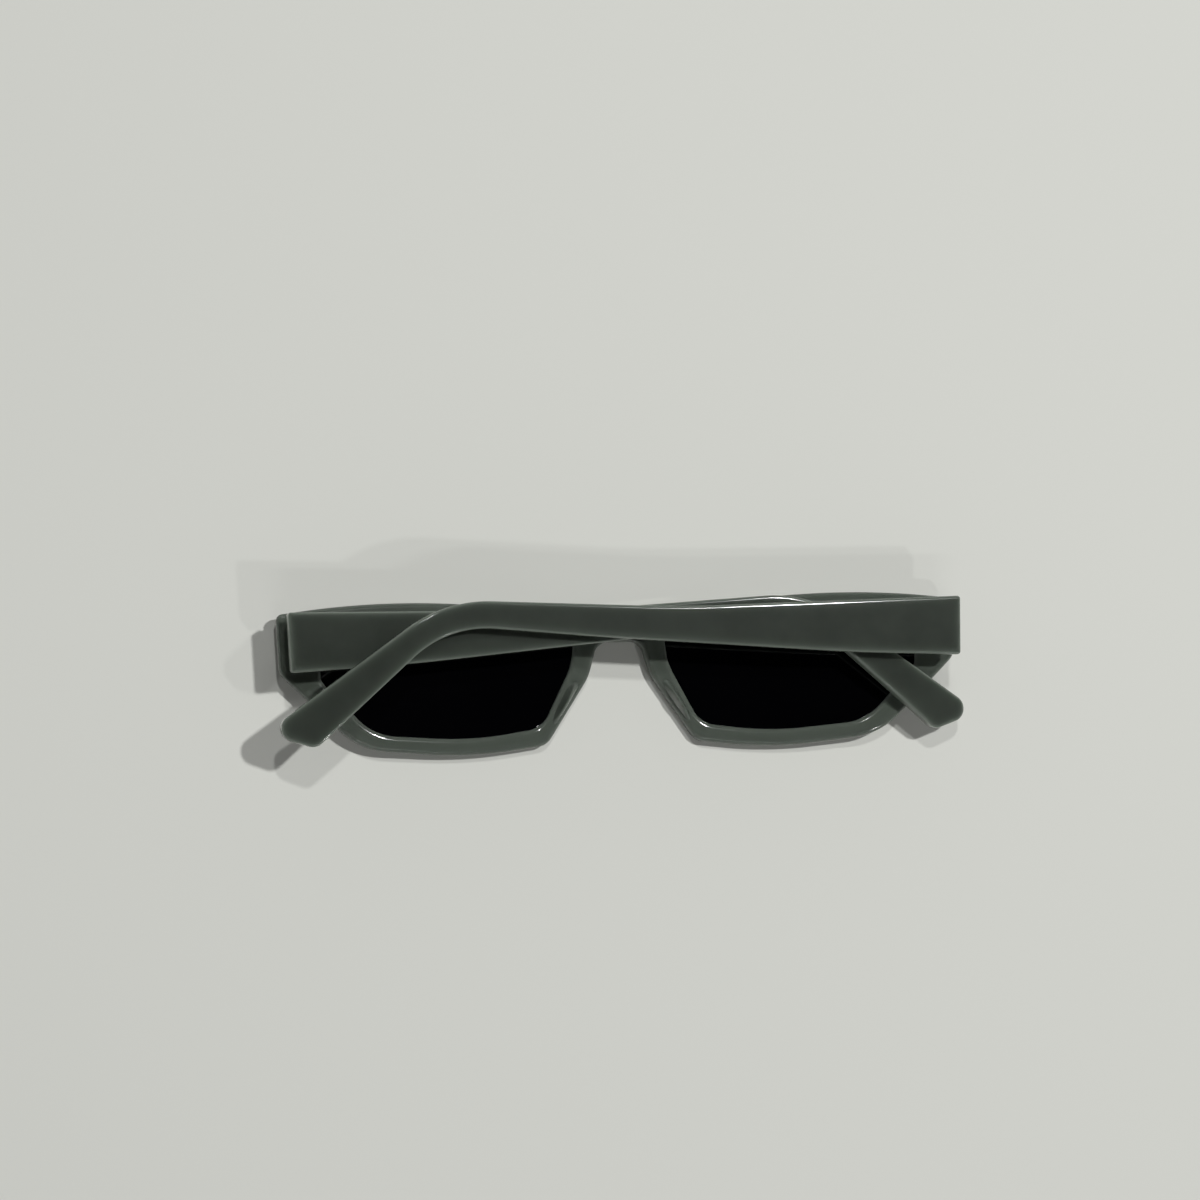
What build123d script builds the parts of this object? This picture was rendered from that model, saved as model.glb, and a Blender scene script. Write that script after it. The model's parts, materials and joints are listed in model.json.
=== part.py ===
from build123d import *
import math
import os

os.makedirs("parts", exist_ok=True)

# Narrow rectangle sunglasses, folded, lying on the outer face of the front.
# X runs to the wearer's right, Y up the face, Z out of the back of the front, towards the wearer.
# The origin is the centre of the bridge, on its outer face.

# Lenses and bridge
lens_width = 55.5
lens_height = 26.4
lens_thickness = 2.0
lens_bevel = 0.6
lens_fit = 0.04
bridge_width = 19.5
bridge_height = 5.9
arch_half_width = 4.7
arch_radius = 3.0
arch_flare_radius = 12.0
# Depth of the lowest point of the lenses below the middle of the bridge
lens_drop = 23.15

# Acetate front
front_thickness = 3.8
rim_width = 3.7
brow_width = 4.6
end_width = 8.9
end_taper = 0.4
face_radius = 620.0
land_blend_radius = 60.0
front_edge_radius = 0.9

# Corner radii of the front's outline and of the lens opening
brow_flare_radius = 30.0
top_corner_radius = 1.5
side_corner_radius = 3.5
nose_corner_radius = 4.0
lens_inner_top_radius = 3.0
lens_outer_top_radius = 2.5
lens_side_radius = 2.5
lens_nose_radius = 6.0

# Nose pads, built up on the back of the front
pad_height = 3.0
pad_margin = 0.3
pad_corner_radius = 1.25
pad_edge_radius = 1.0

# Temples
# How far short of the other hinge pin a folded temple's bend lies, and its tip's length past it
bend_clear = 28.4
tip_reach = 38.8
butt_height = 12.7
temple_thickness = 3.8
tip_drop = 25.0
butt_slant = 0.4
butt_gap = 0.25
inward_radius = 180.0
temple_edge_radius = 0.6
butt_corner_radius = 0.7
bend_outer_radius = 29.0
bend_inner_radius = 23.0
tip_outer_radius = 2.9
tip_inner_radius = 2.6
# How far the outer face of the open temple stands in from the side of the front
side_inset = 1.05

# Hinges: the pin stands this far behind the front and inboard of the temple
pin_height = 5.0
pin_inset = 1.3
knuckle_count = 5
knuckle_length = 1.15
knuckle_gap = 0.1
knuckle_radius = 1.2
screw_radius = 0.65
screw_clearance = 0.05
screw_head_radius = 1.0
screw_head_height = 0.5
slot_width = 0.35
slot_depth = 0.3
leaf_thickness = 0.8
leaf_web = 0.9
# How far the leaves reach from the pin: inboard and outboard, and to the butt and the tip
front_leaf_inboard = 1.6
front_leaf_outboard = 3.2
temple_leaf_back = 1.6
temple_leaf_ahead = 6.0
anchor_radius = 0.6
anchor_depth = 0.9
leaf_fit = 0.02

# Steel core in each temple
core_radius = 0.6
core_fit = 0.04
core_start = 9.5
core_bend_radius = 26.0

# Fold of each temple from flat, in degrees: the lower one dips, the upper one rides over it
fold_degrees = {"left": -1.7, "right": 2.2}

# One overrun for all cuts, and the distance under which two faces count as one
overrun = 5.0
snug = 0.01

sides = {"left": -1, "right": 1}

# The long curves' radii, as shares of the lens's width
brow_curve_share = 3.2
cheek_curve_share = 0.295
belly_curve_share = 1.62
lens_brow_curve_share = 2.65
lens_cheek_curve_share = 0.221
lens_belly_curve_share = 1.29
lens_inner_curve_share = 0.277

# Lens opening, from its inner top corner outwards: shares of the lens's width and height
lens_shares = {
    "inner_top": (0.000, 0.894),
    "brow": (0.673, 1.000),
    "outer_top": (1.000, 0.936),
    "side": (0.994, 0.511),
    "cheek": (0.795, 0.064),
    "belly": (0.411, 0.000),
    "nose": (0.138, 0.083),
    "inner": (0.015, 0.583),
}
lens_radii = [
    lens_inner_top_radius,
    lens_brow_curve_share * lens_width,
    lens_outer_top_radius,
    lens_side_radius,
    lens_cheek_curve_share * lens_width,
    lens_belly_curve_share * lens_width,
    lens_nose_radius,
    lens_inner_curve_share * lens_width,
]

lens_left = bridge_width / 2
lens_outer = lens_left + lens_width
lens_bottom = -lens_drop
# The face is flat across the bridge and curves back from just short of the lenses
flat_half_width = lens_left - 2 * lens_bevel
lens_corners = {
    name: (lens_left + along * lens_width, lens_bottom + up * lens_height)
    for name, (along, up) in lens_shares.items()
}

# Each corner of the front stands outside a corner of the lens, by shares of the rim's width
rim_shares = {
    "side": (0.0, 0.46),
    "cheek": (0.78, -0.84),
    "belly": (0.19, -1.00),
    "nose": (-0.26, -1.03),
    "inner": (-1.00, -0.70),
}
brow_rise_share = 0.67


def beside(corner):
    """The front's corner that stands outside a corner of the lens."""
    x, y = lens_corners[corner]
    out, up = rim_shares[corner]
    return (x + out * rim_width, y + up * rim_width)


half_width = lens_outer + end_width
brow_x, brow_y = lens_corners["brow"]
brow_corner = (brow_x, brow_y + brow_width)
end_top = lens_corners["outer_top"][1] + brow_rise_share * brow_width
top_corner = (half_width, end_top)
side_corner = (half_width - end_taper, beside("side")[1])
cheek_corner = beside("cheek")
belly_corner = beside("belly")
nose_corner = beside("nose")
flare_corner = beside("inner")
bridge_top = bridge_height / 2
bridge_low = -bridge_height / 2
arch_corner = (arch_half_width, bridge_low)
brow_start = (arch_half_width + arch_radius, bridge_top)

front_corners = [
    (0, bridge_top),
    brow_start,
    brow_corner,
    top_corner,
    side_corner,
    cheek_corner,
    belly_corner,
    nose_corner,
    flare_corner,
    arch_corner,
    (0, bridge_low),
]
front_radii = [
    brow_flare_radius,
    brow_curve_share * lens_width,
    top_corner_radius,
    side_corner_radius,
    cheek_curve_share * lens_width,
    belly_curve_share * lens_width,
    nose_corner_radius,
    arch_flare_radius,
    arch_radius,
]


def face_height(x):
    """Height of the outer face above its flat middle, at x."""
    run = max(abs(x) - flat_half_width, 0)
    return face_radius - math.sqrt(face_radius**2 - run**2)


# Side view of a temple, from the upper corner of its butt round to the lower one.
# The first share is of the length from pin to bend, the second of the butt's height.
temple_top_shares = [(0.525, 0.424), (1.004, 0.630)]
temple_low_shares = [(1.000, 0.213), (0.705, -0.037), (0.186, -0.410)]
butt_shares = (0.500, -0.500)
# The tip's two corners: shares of its reach past the bend and of its drop
tip_shares = [(1.000, 0.860), (0.729, 1.000)]
# The radii of the straight part's long curves, as shares of its length
top_curve_share = 2.8
low_curve_share = 4.7
core_end_share = 0.85

# Nose pads: where their corners lie along the nose side of the rim and along the lens
pad_nose_shares = (0.28, 0.97)
pad_lens_shares = (0.85, 0.25)

# The back of each end piece is flat, level with the back of the front beside the lens
land_height = face_height(lens_outer) + front_thickness
tall = land_height + pin_height + overrun

# Hinge pins, in the plan of the closed frame
pin_x = half_width - side_inset - temple_thickness - pin_inset
pin_z = land_height + pin_height
butt_middle = (end_top + side_corner[1]) / 2
butt_reach = pin_height - butt_gap
stack_length = knuckle_count * knuckle_length + (knuckle_count - 1) * knuckle_gap

# Temples: the straight part ends short of the other hinge
bend_reach = 2 * pin_x - bend_clear
temple_length = bend_reach + tip_reach
temple_radii = [
    butt_corner_radius,
    top_curve_share * bend_reach,
    bend_outer_radius,
    tip_outer_radius,
    tip_inner_radius,
    bend_inner_radius,
    low_curve_share * bend_reach,
    low_curve_share * bend_reach,
    butt_corner_radius,
]


def face_layer(low, high):
    """Plan section of the front between two depths behind its outer face, out past its sides."""
    sweep = math.degrees(math.asin((half_width - flat_half_width + overrun) / face_radius))
    with BuildSketch(Plane.XZ) as layer:
        with BuildLine():
            near = Line((0, low), (flat_half_width, low))
            centre = (flat_half_width, face_radius)
            near_arc = CenterArc(centre, face_radius - low, -90, sweep)
            far = Line((0, high), (flat_half_width, high))
            far_arc = CenterArc(centre, face_radius - high, -90, sweep)
            Line(near_arc @ 1, far_arc @ 1)
            Line(near @ 0, far @ 0)
        make_face()
        mirror(about=Plane.YZ)
    return layer.sketch


def lens_outline(side, grow):
    """Outline of one lens opening, grown by the given amount."""
    with BuildSketch() as outline:
        with BuildLine():
            points = [(side * x, y) for x, y in lens_corners.values()]
            FilletPolyline(points, radius=lens_radii, close=True)
        make_face()
        if grow:
            offset(amount=grow, kind=Kind.ARC)
    return outline.sketch


def plan_section():
    """Plan section of the front, with a flat land for the hinge blended into each end piece."""
    with BuildSketch(Plane.XZ) as plan:
        add(face_layer(0, front_thickness))
        across = 2 * (half_width + overrun)
        corner = (Align.CENTER, Align.MIN)
        Rectangle(across, land_height, align=corner, mode=Mode.INTERSECT)
        level = plan.vertices().filter_by(lambda v: abs(v.Y - land_height) < snug)
        fillet(level.filter_by(lambda v: abs(v.X) < half_width), land_blend_radius)
    return plan.sketch


def rim_edges(solid, out):
    """Edges between a plate's faces and its side walls, for a plate that faces along a direction."""
    walls = solid.faces().filter_by(lambda f: abs(f.normal_at(f.center()).dot(out)) < 1 / 2)
    return walls.edges() & (solid.faces() - walls).edges()


def lens_blank(side, fit):
    """One lens with its bevelled edge, grown all over by a fit."""
    middle = front_thickness / 2
    half = lens_thickness / 2 + fit
    layer = face_layer(middle - half, middle + half)
    with BuildPart() as blank:
        extrude(lens_outline(side, lens_bevel + fit), amount=tall)
        extrude(layer, amount=half_width, both=True, mode=Mode.INTERSECT)
        chamfer(rim_edges(blank, Vector(0, 0, 1)), lens_bevel)
    return blank.part


def between(start, end, share):
    """The point at a share of the way from one point to another."""
    return tuple(a + share * (b - a) for a, b in zip(start, end))


def side_plane(side):
    """Side view of a folded temple: x runs from the pin to the tip, y stays up the face."""
    turn = math.radians(fold_degrees[side])
    sign = sides[side]
    along = (-sign * math.cos(turn), 0, math.sin(turn))
    normal = (-math.sin(turn), 0, -sign * math.cos(turn))
    return Plane(origin=(sign * pin_x, butt_middle, pin_z), x_dir=along, z_dir=normal)


def plan_plane(side):
    """Plan of a folded temple: x runs from the pin to the tip, y out of its outer face."""
    side_view = side_plane(side)
    return Plane(origin=side_view.origin, x_dir=side_view.x_dir, z_dir=(0, sides[side], 0))


def temple_corners():
    """Corners of a temple's side view, measured from the hinge pin."""
    top = [(along * bend_reach, up * butt_height) for along, up in temple_top_shares]
    low = [(along * bend_reach, up * butt_height) for along, up in temple_low_shares]
    knee = low[0][1]
    tip = [(bend_reach + along * tip_reach, knee - down * tip_drop) for along, down in tip_shares]
    high, deep = [share * butt_height for share in butt_shares]
    return [(-butt_reach, high), *top, *tip, *low, (butt_slant - butt_reach, deep)]


def temple_plan(side):
    """Plan of a temple: a straight plate whose end curves in towards the head."""
    start = bend_reach
    outer = pin_inset + temple_thickness
    centre = (start, pin_inset - inward_radius)
    sweep = math.degrees((temple_length - start + overrun) / inward_radius)
    with BuildSketch(plan_plane(side)) as plan:
        with BuildLine():
            inner_line = Line((-butt_reach - overrun, pin_inset), (start, pin_inset))
            inner_arc = CenterArc(centre, inward_radius, 90, -sweep)
            outer_line = Line((-butt_reach - overrun, outer), (start, outer))
            outer_arc = CenterArc(centre, inward_radius + temple_thickness, 90, -sweep)
            Line(inner_arc @ 1, outer_arc @ 1)
            Line(inner_line @ 0, outer_line @ 0)
        make_face()
    return plan.sketch


def core(side, fit):
    """Steel wire down the middle of a temple, grown by a fit."""
    butt_top, _, bend_top, tip_top, tip_low, bend_low, _, _, butt_low = temple_corners()
    knee = between(bend_top, bend_low, 1 / 2)
    end = between(knee, between(tip_top, tip_low, 1 / 2), core_end_share)
    start = (core_start, between(butt_top, butt_low, 1 / 2)[1])
    middle = pin_inset + temple_thickness / 2
    inward = (end[0] - bend_reach) ** 2 / (2 * inward_radius)
    depths = (middle, middle, middle - inward)
    side_view = side_plane(side)
    sign = -sides[side]
    points = [(x, y, sign * depth) for (x, y), depth in zip((start, knee, end), depths)]
    with BuildPart() as wire:
        with BuildLine() as route:
            places = [side_view.from_local_coords(point) for point in points]
            FilletPolyline(places, radius=core_bend_radius)
        with BuildSketch(Plane(origin=route.line @ 0, z_dir=route.line % 0)):
            Circle(core_radius + fit)
        sweep(path=route.line)
    return wire.part


def front_seat(side):
    """Where a hinge leaf lies on the land of the front: x runs outboard, z into the front."""
    sign = sides[side]
    return Plane(origin=(sign * pin_x, butt_middle, land_height), x_dir=(sign, 0, 0), z_dir=(0, 0, -1))


def temple_seat(side):
    """Where a hinge leaf lies on a temple's inner face: x runs to the tip, z into the temple."""
    plan = plan_plane(side)
    return Plane(origin=plan.origin + plan.y_dir * pin_inset, x_dir=plan.x_dir, z_dir=plan.y_dir)


def leaf_base(seat, back, ahead, fit):
    """Hinge leaf let flush into its seat, with two anchors, grown by a fit."""
    middle = (ahead - back) / 2
    with BuildPart() as base:
        with BuildSketch(seat):
            with Locations((middle, 0)):
                Rectangle(back + ahead + 2 * fit, stack_length + 2 * fit)
        extrude(amount=leaf_thickness + fit)
        with BuildSketch(seat.offset(leaf_thickness)):
            with Locations((middle, stack_length / 4), (middle, -stack_length / 4)):
                Circle(anchor_radius + fit)
        extrude(amount=anchor_depth + fit)
    return base.part


def knuckles(across, first, web_length):
    """Every second knuckle round the pin, on webs that run along y, bored for the screw."""
    bottom = across.offset(-stack_length / 2)
    with BuildPart() as barrel:
        for step in range(first, knuckle_count, 2):
            with BuildSketch(bottom.offset(step * (knuckle_length + knuckle_gap))):
                Circle(knuckle_radius)
                Rectangle(2 * leaf_web, web_length, align=(Align.CENTER, Align.MIN))
                Circle(screw_radius + screw_clearance, mode=Mode.SUBTRACT)
            extrude(amount=knuckle_length)
    return barrel.part


def front_leaf(side, fit):
    """Leaf of a hinge in the front, grown by a fit."""
    return leaf_base(front_seat(side), front_leaf_inboard, front_leaf_outboard, fit)


def temple_leaf(side, fit):
    """Leaf of a hinge in its temple, grown by a fit."""
    return leaf_base(temple_seat(side), temple_leaf_back, temple_leaf_ahead, fit)


def pin_plane(side):
    """Across the hinge pin: y runs down to the front."""
    return Plane(origin=(sides[side] * pin_x, butt_middle, pin_z), x_dir=(1, 0, 0), z_dir=(0, 1, 0))


# Front: one acetate plate, curved in plan, with seats for the lenses and the hinge leaves
with BuildPart() as front_frame:
    with BuildSketch():
        with BuildLine():
            half = FilletPolyline(front_corners, radius=front_radii)
            mirror(half, about=Plane.YZ)
        make_face()
    extrude(amount=tall)
    extrude(plan_section(), amount=half_width, both=True, mode=Mode.INTERSECT)
    for sign in sides.values():
        extrude(lens_outline(sign, 0), amount=tall, mode=Mode.SUBTRACT)
    fillet(rim_edges(front_frame, Vector(0, 0, 1)), front_edge_radius)
    for side, sign in sides.items():
        add(lens_blank(sign, lens_fit), mode=Mode.SUBTRACT)
        add(front_leaf(side, leaf_fit), mode=Mode.SUBTRACT)

front_frame.part.label = "front_frame"
export_step(front_frame.part, "parts/front_frame.step")

for side, sign in sides.items():

    # Lens: a dark sheet curved like the front, with a bevel all round that its seat holds
    with BuildPart() as lens:
        add(lens_blank(sign, 0))

    lens.part.label = f"{side}_lens"
    export_step(lens.part, f"parts/{side}_lens.step")

    # Nose pad: an acetate wedge bonded to the back of the front beside the nose
    with BuildPart() as nose_pad:
        with BuildSketch(Plane.XY.offset(front_thickness - front_edge_radius)):
            with BuildLine():
                nose_side = [between(nose_corner, flare_corner, share) for share in pad_nose_shares]
                lens_nose, lens_inner = lens_corners["nose"], lens_corners["inner"]
                lens_side = [between(lens_nose, lens_inner, share) for share in pad_lens_shares]
                inboard = [(sign * (x + pad_margin), y) for x, y in nose_side]
                outboard = [(sign * (x - pad_margin), y) for x, y in lens_side]
                FilletPolyline(inboard + outboard, radius=pad_corner_radius, close=True)
            make_face()
        extrude(amount=pad_height + front_edge_radius)
        fillet(nose_pad.faces().sort_by(Axis.Z)[-1].edges(), pad_edge_radius)
        add(front_frame.part, mode=Mode.SUBTRACT)

    nose_pad.part.label = f"{side}_nose_pad"
    export_step(nose_pad.part, f"parts/{side}_nose_pad.step")

    # Front half of the hinge: three knuckles on a leaf let into the end piece
    with BuildPart() as front_hinge:
        add(front_leaf(side, 0))
        add(knuckles(pin_plane(side), 0, pin_height + leaf_thickness / 2))

    front_hinge.part.label = f"{side}_front_hinge"
    export_step(front_hinge.part, f"parts/{side}_front_hinge.step")

    # Hinge screw: a slotted head on the upper knuckle and a shank through all five
    with BuildPart() as hinge_screw:
        with BuildSketch(pin_plane(side).offset(-stack_length / 2)):
            Circle(screw_radius)
        extrude(amount=stack_length)
        with BuildSketch(pin_plane(side).offset(stack_length / 2)):
            Circle(screw_head_radius)
        extrude(amount=screw_head_height)
        with BuildSketch(pin_plane(side).offset(stack_length / 2 + screw_head_height)):
            Rectangle(2 * screw_head_radius + overrun, slot_width)
        extrude(amount=-slot_depth, mode=Mode.SUBTRACT)

    hinge_screw.part.label = f"{side}_hinge_screw"
    export_step(hinge_screw.part, f"parts/{side}_hinge_screw.step")

    # Temple: a straight acetate arm that drops behind the ear and curves in at its end
    with BuildPart() as temple:
        with BuildSketch(side_plane(side)) as side_view:
            with BuildLine():
                FilletPolyline(temple_corners(), radius=temple_radii, close=True)
            make_face()
        extrude(side_view.sketch, amount=temple_length / 4, both=True)
        extrude(temple_plan(side), amount=temple_length / 2, both=True, mode=Mode.INTERSECT)
        fillet(rim_edges(temple, side_plane(side).z_dir), temple_edge_radius)
        add(temple_leaf(side, leaf_fit), mode=Mode.SUBTRACT)
        add(core(side, core_fit), mode=Mode.SUBTRACT)

    temple.part.label = f"{side}_temple"
    export_step(temple.part, f"parts/{side}_temple.step")

    # Temple half of the hinge: two knuckles on a leaf let into the inner face
    with BuildPart() as temple_hinge:
        add(temple_leaf(side, 0))
        add(knuckles(plan_plane(side), 1, pin_inset + leaf_thickness / 2))

    temple_hinge.part.label = f"{side}_temple_hinge"
    export_step(temple_hinge.part, f"parts/{side}_temple_hinge.step")

    # Steel wire that stiffens the temple
    with BuildPart() as core_wire:
        add(core(side, 0))

    core_wire.part.label = f"{side}_core_wire"
    export_step(core_wire.part, f"parts/{side}_core_wire.step")
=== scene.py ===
"""Folded narrow rectangle sunglasses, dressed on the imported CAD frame."""

from __future__ import annotations

import json
import logging
import math
from dataclasses import dataclass, field
from enum import Enum

import bmesh
import bpy
import numpy as np
from mathutils import Matrix, Vector

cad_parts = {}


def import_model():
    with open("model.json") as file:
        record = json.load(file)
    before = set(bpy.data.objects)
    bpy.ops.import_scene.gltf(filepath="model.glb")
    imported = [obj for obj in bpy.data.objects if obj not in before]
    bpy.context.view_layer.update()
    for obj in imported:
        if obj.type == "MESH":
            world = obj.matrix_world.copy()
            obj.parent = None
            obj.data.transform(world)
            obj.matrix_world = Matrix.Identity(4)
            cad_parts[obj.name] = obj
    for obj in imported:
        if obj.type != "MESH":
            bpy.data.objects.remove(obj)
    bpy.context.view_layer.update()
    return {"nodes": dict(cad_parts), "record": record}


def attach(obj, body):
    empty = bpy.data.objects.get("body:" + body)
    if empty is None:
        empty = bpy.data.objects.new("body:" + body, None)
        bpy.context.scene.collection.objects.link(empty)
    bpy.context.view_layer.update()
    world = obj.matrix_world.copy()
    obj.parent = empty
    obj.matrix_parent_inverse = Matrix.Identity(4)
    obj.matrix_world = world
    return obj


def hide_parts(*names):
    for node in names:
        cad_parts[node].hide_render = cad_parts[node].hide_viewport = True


LOG = logging.getLogger("sunglasses")
MM = 0.001
# Each vertex's depth into the painted edge glow, in millimetres, which lightens the acetate's base colour
PAINTED_GLOW_ATTRIBUTE = "edge_mm"
# Points closer than this are welded into one
WELD_MM = 0.002
# The photograph's width, which the camera's focal length in pixels refers to
IMAGE_PX = 1200

Array = np.ndarray


class Side(Enum):
    """The wearer's two sides, with the sign of X on each."""

    LEFT = -1
    RIGHT = 1

    @property
    def word(self) -> str:
        """The side's name, as the nodes write it."""
        return self.name.lower()


# How far each temple stands off the plane of the front when folded
FOLD_DEGREES = {Side.LEFT: -1.7, Side.RIGHT: 2.2}


def linear(code: str) -> tuple[float, float, float, float]:
    """Turns an sRGB hex colour into linear RGBA.

    Args:
        code: six hex digits, with or without a leading #.

    Returns:
        Linear red, green, blue and an alpha of 1.
    """
    digits = code.lstrip("#")
    shares = np.array([int(digits[i : i + 2], 16) for i in (0, 2, 4)]) / 255.0
    low, high = shares / 12.92, ((shares + 0.055) / 1.055) ** 2.4
    red, green, blue = np.where(shares <= 0.04045, low, high)
    return float(red), float(green), float(blue), 1.0


def add_node(
    tree: bpy.types.NodeTree, kind: str, inputs: dict | None = None, **settings
) -> bpy.types.Node:
    """Adds a shader node with its settings, values and links.

    Args:
        tree: the node tree that gets the node.
        kind: the node's type name.
        inputs: input name or index to a value, or to an output socket that is linked.
        settings: attributes of the node.

    Returns:
        The new node.
    """
    node = tree.nodes.new(kind)
    for name, value in settings.items():
        setattr(node, name, value)
    for name, value in (inputs or {}).items():
        if isinstance(value, bpy.types.NodeSocket):
            tree.links.new(value, node.inputs[name])
        else:
            node.inputs[name].default_value = value
    return node


def new_material(name: str) -> tuple[bpy.types.Material, bpy.types.NodeTree]:
    """Makes an empty node material.

    Args:
        name: the material's name.

    Returns:
        The material and its cleared node tree.
    """
    material = bpy.data.materials.new(name)
    material.use_nodes = True
    material.node_tree.nodes.clear()
    return material, material.node_tree


@dataclass(frozen=True)
class Acetate:
    """Cellulose acetate sheet, milled and tumble polished.

    The sheet is milky. The pale band that light entering at its edges would leave is painted into the base
    colour as a glow that fades inwards as exp(-depth / band), the same on every edge whatever the lamps,
    beside real subsurface scattering;
    the polish gives tight bright highlights on the rounded edges.
    """

    name: str = "polished_grey_green_acetate"
    colour: str = "#3c413b"
    deep_colour: str = "#363b35"
    # Painted edge glow: the colour the edges are lightened to, standing in for light that enters the sheet
    edge_colour: str = "#6f776e"
    band_mm: float = 0.5
    # How far light travels in the milky sheet
    depth_mm: float = 1.1
    # Clouds and swirls of the pigment, as wide as they are in pressed block
    cloud_mm: float = 16.0
    swirl_mm: float = 3.5
    # Waves that hand polishing leaves
    ripple_mm: float = 7.0
    # Polishing scuffs, drawn coarser than the real ones so that they show
    scuff_mm: float = 0.35
    # The swirl's share beside the cloud, and the noise values between which the two colours blend
    swirl_share: float = 0.3
    deep_until: float = 0.45
    clear_from: float = 0.85
    roughness: float = 0.07
    scuff_roughness: float = 0.05
    ripple_height_mm: float = 0.04
    ripple_strength: float = 0.1
    ior: float = 1.48

    def make(self) -> bpy.types.Material:
        """Builds the material."""
        material, tree = new_material(self.name)
        place = add_node(tree, "ShaderNodeTexCoord").outputs["Object"]
        cloud = self._noise(tree, place, self.cloud_mm, 3.0)
        swirl = self._noise(tree, place, self.swirl_mm, 2.0)
        blend = add_node(
            tree, "ShaderNodeMath", {0: swirl, 1: self.swirl_share, 2: cloud}, operation="MULTIPLY_ADD"
        )
        body = add_node(tree, "ShaderNodeValToRGB", {"Fac": blend.outputs[0]})
        body.color_ramp.elements[0].color = linear(self.deep_colour)
        body.color_ramp.elements[0].position = self.deep_until
        body.color_ramp.elements[1].color = linear(self.colour)
        body.color_ramp.elements[1].position = self.clear_from
        # Painted edge glow: the base colour is lightened towards the glow colour as exp(-depth / band)
        edge = add_node(tree, "ShaderNodeAttribute", attribute_name=PAINTED_GLOW_ATTRIBUTE)
        depth = add_node(
            tree, "ShaderNodeMath", {0: edge.outputs["Fac"], 1: -1 / self.band_mm}, operation="MULTIPLY"
        )
        painted_glow = add_node(tree, "ShaderNodeMath", {0: depth.outputs[0]}, operation="EXPONENT")
        colour = add_node(tree, "ShaderNodeMix", data_type="RGBA")
        for socket, value in ((0, painted_glow.outputs[0]), (6, body.outputs["Color"])):
            tree.links.new(value, colour.inputs[socket])
        colour.inputs[7].default_value = linear(self.edge_colour)
        scuff = self._noise(tree, place, self.scuff_mm, 4.0)
        rough = add_node(
            tree,
            "ShaderNodeMapRange",
            {"Value": scuff, "To Min": self.roughness, "To Max": self.roughness + self.scuff_roughness},
        )
        ripple = self._noise(tree, place, self.ripple_mm, 1.0)
        bump = add_node(
            tree,
            "ShaderNodeBump",
            {"Height": ripple, "Strength": self.ripple_strength, "Distance": self.ripple_height_mm * MM},
        )
        shader = add_node(
            tree,
            "ShaderNodeBsdfPrincipled",
            {
                "Base Color": colour.outputs[2],
                "Roughness": rough.outputs["Result"],
                "IOR": self.ior,
                "Normal": bump.outputs["Normal"],
                "Subsurface Weight": 1.0,
                "Subsurface Radius": (1.0, 1.1, 1.0),
                "Subsurface Scale": self.depth_mm * MM,
            },
        )
        add_node(tree, "ShaderNodeOutputMaterial", {"Surface": shader.outputs["BSDF"]})
        return material

    @staticmethod
    def _noise(
        tree: bpy.types.NodeTree, place: bpy.types.NodeSocket, grain_mm: float, detail: float
    ) -> bpy.types.NodeSocket:
        """Adds noise of one grain size and gives its value socket."""
        noise = add_node(
            tree, "ShaderNodeTexNoise", {"Vector": place, "Scale": 1 / (grain_mm * MM), "Detail": detail}
        )
        return noise.outputs["Fac"]


@dataclass(frozen=True)
class LensSheet:
    """Dark tinted lens sheet, cast and polished: near black, with sharp reflections."""

    name: str = "near_black_lens_sheet"
    colour: str = "#020203"
    # Patches where the polish is a little less sharp
    haze_mm: float = 9.0
    roughness: float = 0.03
    ior: float = 1.5

    def make(self) -> bpy.types.Material:
        """Builds the material."""
        material, tree = new_material(self.name)
        place = add_node(tree, "ShaderNodeTexCoord")
        haze = add_node(
            tree,
            "ShaderNodeTexNoise",
            {"Vector": place.outputs["Object"], "Scale": 1 / (self.haze_mm * MM), "Detail": 2.0},
        )
        rough = add_node(
            tree,
            "ShaderNodeMapRange",
            {"Value": haze.outputs["Fac"], "To Min": self.roughness, "To Max": 2 * self.roughness},
        )
        shader = add_node(
            tree,
            "ShaderNodeBsdfPrincipled",
            {"Base Color": linear(self.colour), "Roughness": rough.outputs["Result"], "IOR": self.ior},
        )
        add_node(tree, "ShaderNodeOutputMaterial", {"Surface": shader.outputs["BSDF"]})
        return material


@dataclass(frozen=True)
class HingeSteel:
    """Stainless hinge stock, milled and barrel finished: a soft warm metal with fine scratches."""

    name: str = "barrel_finished_hinge_metal"
    colour: str = "#c9c4ba"
    smoothest: float = 0.24
    roughest: float = 0.42
    # Tumbling scratches, drawn coarser than the real ones so that they show
    scratch_mm: float = 0.25

    def make(self) -> bpy.types.Material:
        """Builds the material."""
        material, tree = new_material(self.name)
        place = add_node(tree, "ShaderNodeTexCoord")
        grain = add_node(
            tree,
            "ShaderNodeTexNoise",
            {"Vector": place.outputs["Object"], "Scale": 1 / (self.scratch_mm * MM), "Detail": 4.0},
        )
        rough = add_node(
            tree,
            "ShaderNodeMapRange",
            {"Value": grain.outputs["Fac"], "To Min": self.smoothest, "To Max": self.roughest},
        )
        shader = add_node(
            tree,
            "ShaderNodeBsdfPrincipled",
            {"Base Color": linear(self.colour), "Metallic": 1.0, "Roughness": rough.outputs["Result"]},
        )
        add_node(tree, "ShaderNodeOutputMaterial", {"Surface": shader.outputs["BSDF"]})
        return material


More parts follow.
